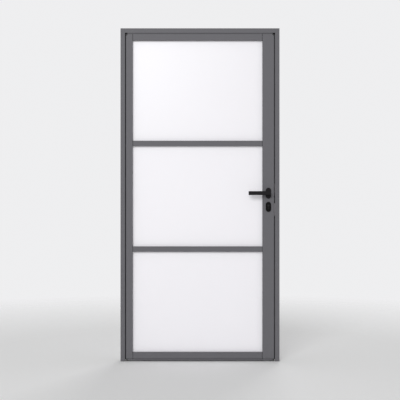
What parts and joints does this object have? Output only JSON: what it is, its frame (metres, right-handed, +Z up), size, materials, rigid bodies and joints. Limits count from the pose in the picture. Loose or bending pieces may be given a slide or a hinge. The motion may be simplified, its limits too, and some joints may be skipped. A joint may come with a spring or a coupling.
{
  "type": "glass door",
  "caption": "Hinged opal-glass door in a slim grey aluminium frame, with cross bars, black lever handles and a profile cylinder lock.",
  "frame": {"origin": "on the finished floor, in the middle of the frame's width and depth", "axes": "+X to the right seen from the front, where the hinges are hidden; +Y from the front to the back, the way the leaf opens; +Z up"},
  "size_m": [1, 0.158, 2.095],
  "materials": {
    "frame_coat": "satin powder coat",
    "bare_aluminium": "mill",
    "keep_metal": "satin coat",
    "hinge_coat": "satin powder coat",
    "black_metal": "satin",
    "black_brass": "blackened",
    "steel": "zinc plated",
    "lock_steel": "brushed",
    "opal_glass": "opal, smooth",
    "seal_rubber": "matt",
    "black_plastic": "moulded",
    "bush_plastic": "moulded",
    "bristles": "fibre"
  },
  "bodies": {
    "frame": {"left_jamb": "frame_coat", "right_jamb": "frame_coat", "frame_head": "frame_coat", "head_spigots": "bare_aluminium", "head_screws": "steel", "frame_seal": "seal_rubber", "fixing_caps": "black_plastic", "strike_plate": "keep_metal", "strike_screws": "steel", "dust_box": "black_plastic", "hinge_pins": "steel", "frame_hinge_screws": "steel", "lower_frame_knuckles": "hinge_coat", "middle_frame_knuckles": "hinge_coat", "upper_frame_knuckles": "hinge_coat"},
    "leaf": {"hinge_stile": "frame_coat", "lock_stile": "frame_coat", "top_rail": "frame_coat", "bottom_rail": "frame_coat", "lower_bar": "frame_coat", "upper_bar": "frame_coat", "rail_spigots": "bare_aluminium", "rail_screws": "steel", "stile_caps": "black_plastic", "sweep_carrier": "frame_coat", "sweep_brush": "bristles", "front_gaskets": "seal_rubber", "rear_gaskets": "seal_rubber", "glazing_beads": "frame_coat", "setting_blocks": "black_plastic", "lower_glass": "opal_glass", "middle_glass": "opal_glass", "upper_glass": "opal_glass", "hinge_bushes": "bush_plastic", "leaf_hinge_screws": "steel", "lower_leaf_knuckle": "hinge_coat", "middle_leaf_knuckle": "hinge_coat", "upper_leaf_knuckle": "hinge_coat", "lock_case": "steel", "lock_cover": "steel", "forend": "lock_steel", "lock_screws": "steel", "cylinder_body": "black_brass", "front_rosette": "black_metal", "rear_rosette": "black_metal", "front_escutcheon": "black_metal", "rear_escutcheon": "black_metal", "rose_bases": "black_plastic", "furniture_screws": "steel"},
    "handle": {"front_lever": "black_metal", "rear_lever": "black_metal", "spindle": "steel", "follower": "steel", "grub_screws": "steel"},
    "latch": {"latch_bolt": "lock_steel"},
    "bolt": {"deadbolt": "lock_steel"},
    "cylinder_core": {"front_plug": "black_brass", "rear_plug": "black_brass", "cylinder_cam": "steel"}
  },
  "joints": [
    {"name": "leaf_swing", "type": "hinge", "parent": "frame", "child": "leaf", "pos_m": [-0.482, 0.033, 1.045], "axis": [0, 0, 1], "range_deg": [0, 110]},
    {"name": "handle_turn", "type": "hinge", "parent": "leaf", "child": "handle", "pos_m": [0.43, 0, 1.058], "axis": [0, -1, 0], "range_deg": [0, 40], "stiffness_Nm_per_rad": 1, "springref_deg": -34.38},
    {"name": "latch_slide", "type": "slide", "parent": "leaf", "child": "latch", "axis": [-1, 0, 0], "range_m": [0, 0.014]},
    {"name": "plug_turn", "type": "hinge", "parent": "leaf", "child": "cylinder_core", "pos_m": [0.43, -0.006, 0.98], "axis": [0, -1, 0], "range_deg": [0, 360]},
    {"name": "deadbolt_slide", "type": "slide", "parent": "leaf", "child": "bolt", "axis": [1, 0, 0], "range_m": [0, 0.02]}
  ],
  "couplings": [
    {"joint": "latch_slide", "follows": "handle_turn", "m_per_rad": 0.02005},
    {"joint": "plug_turn", "follows": "deadbolt_slide", "rad_per_m": 314.16}
  ]
}
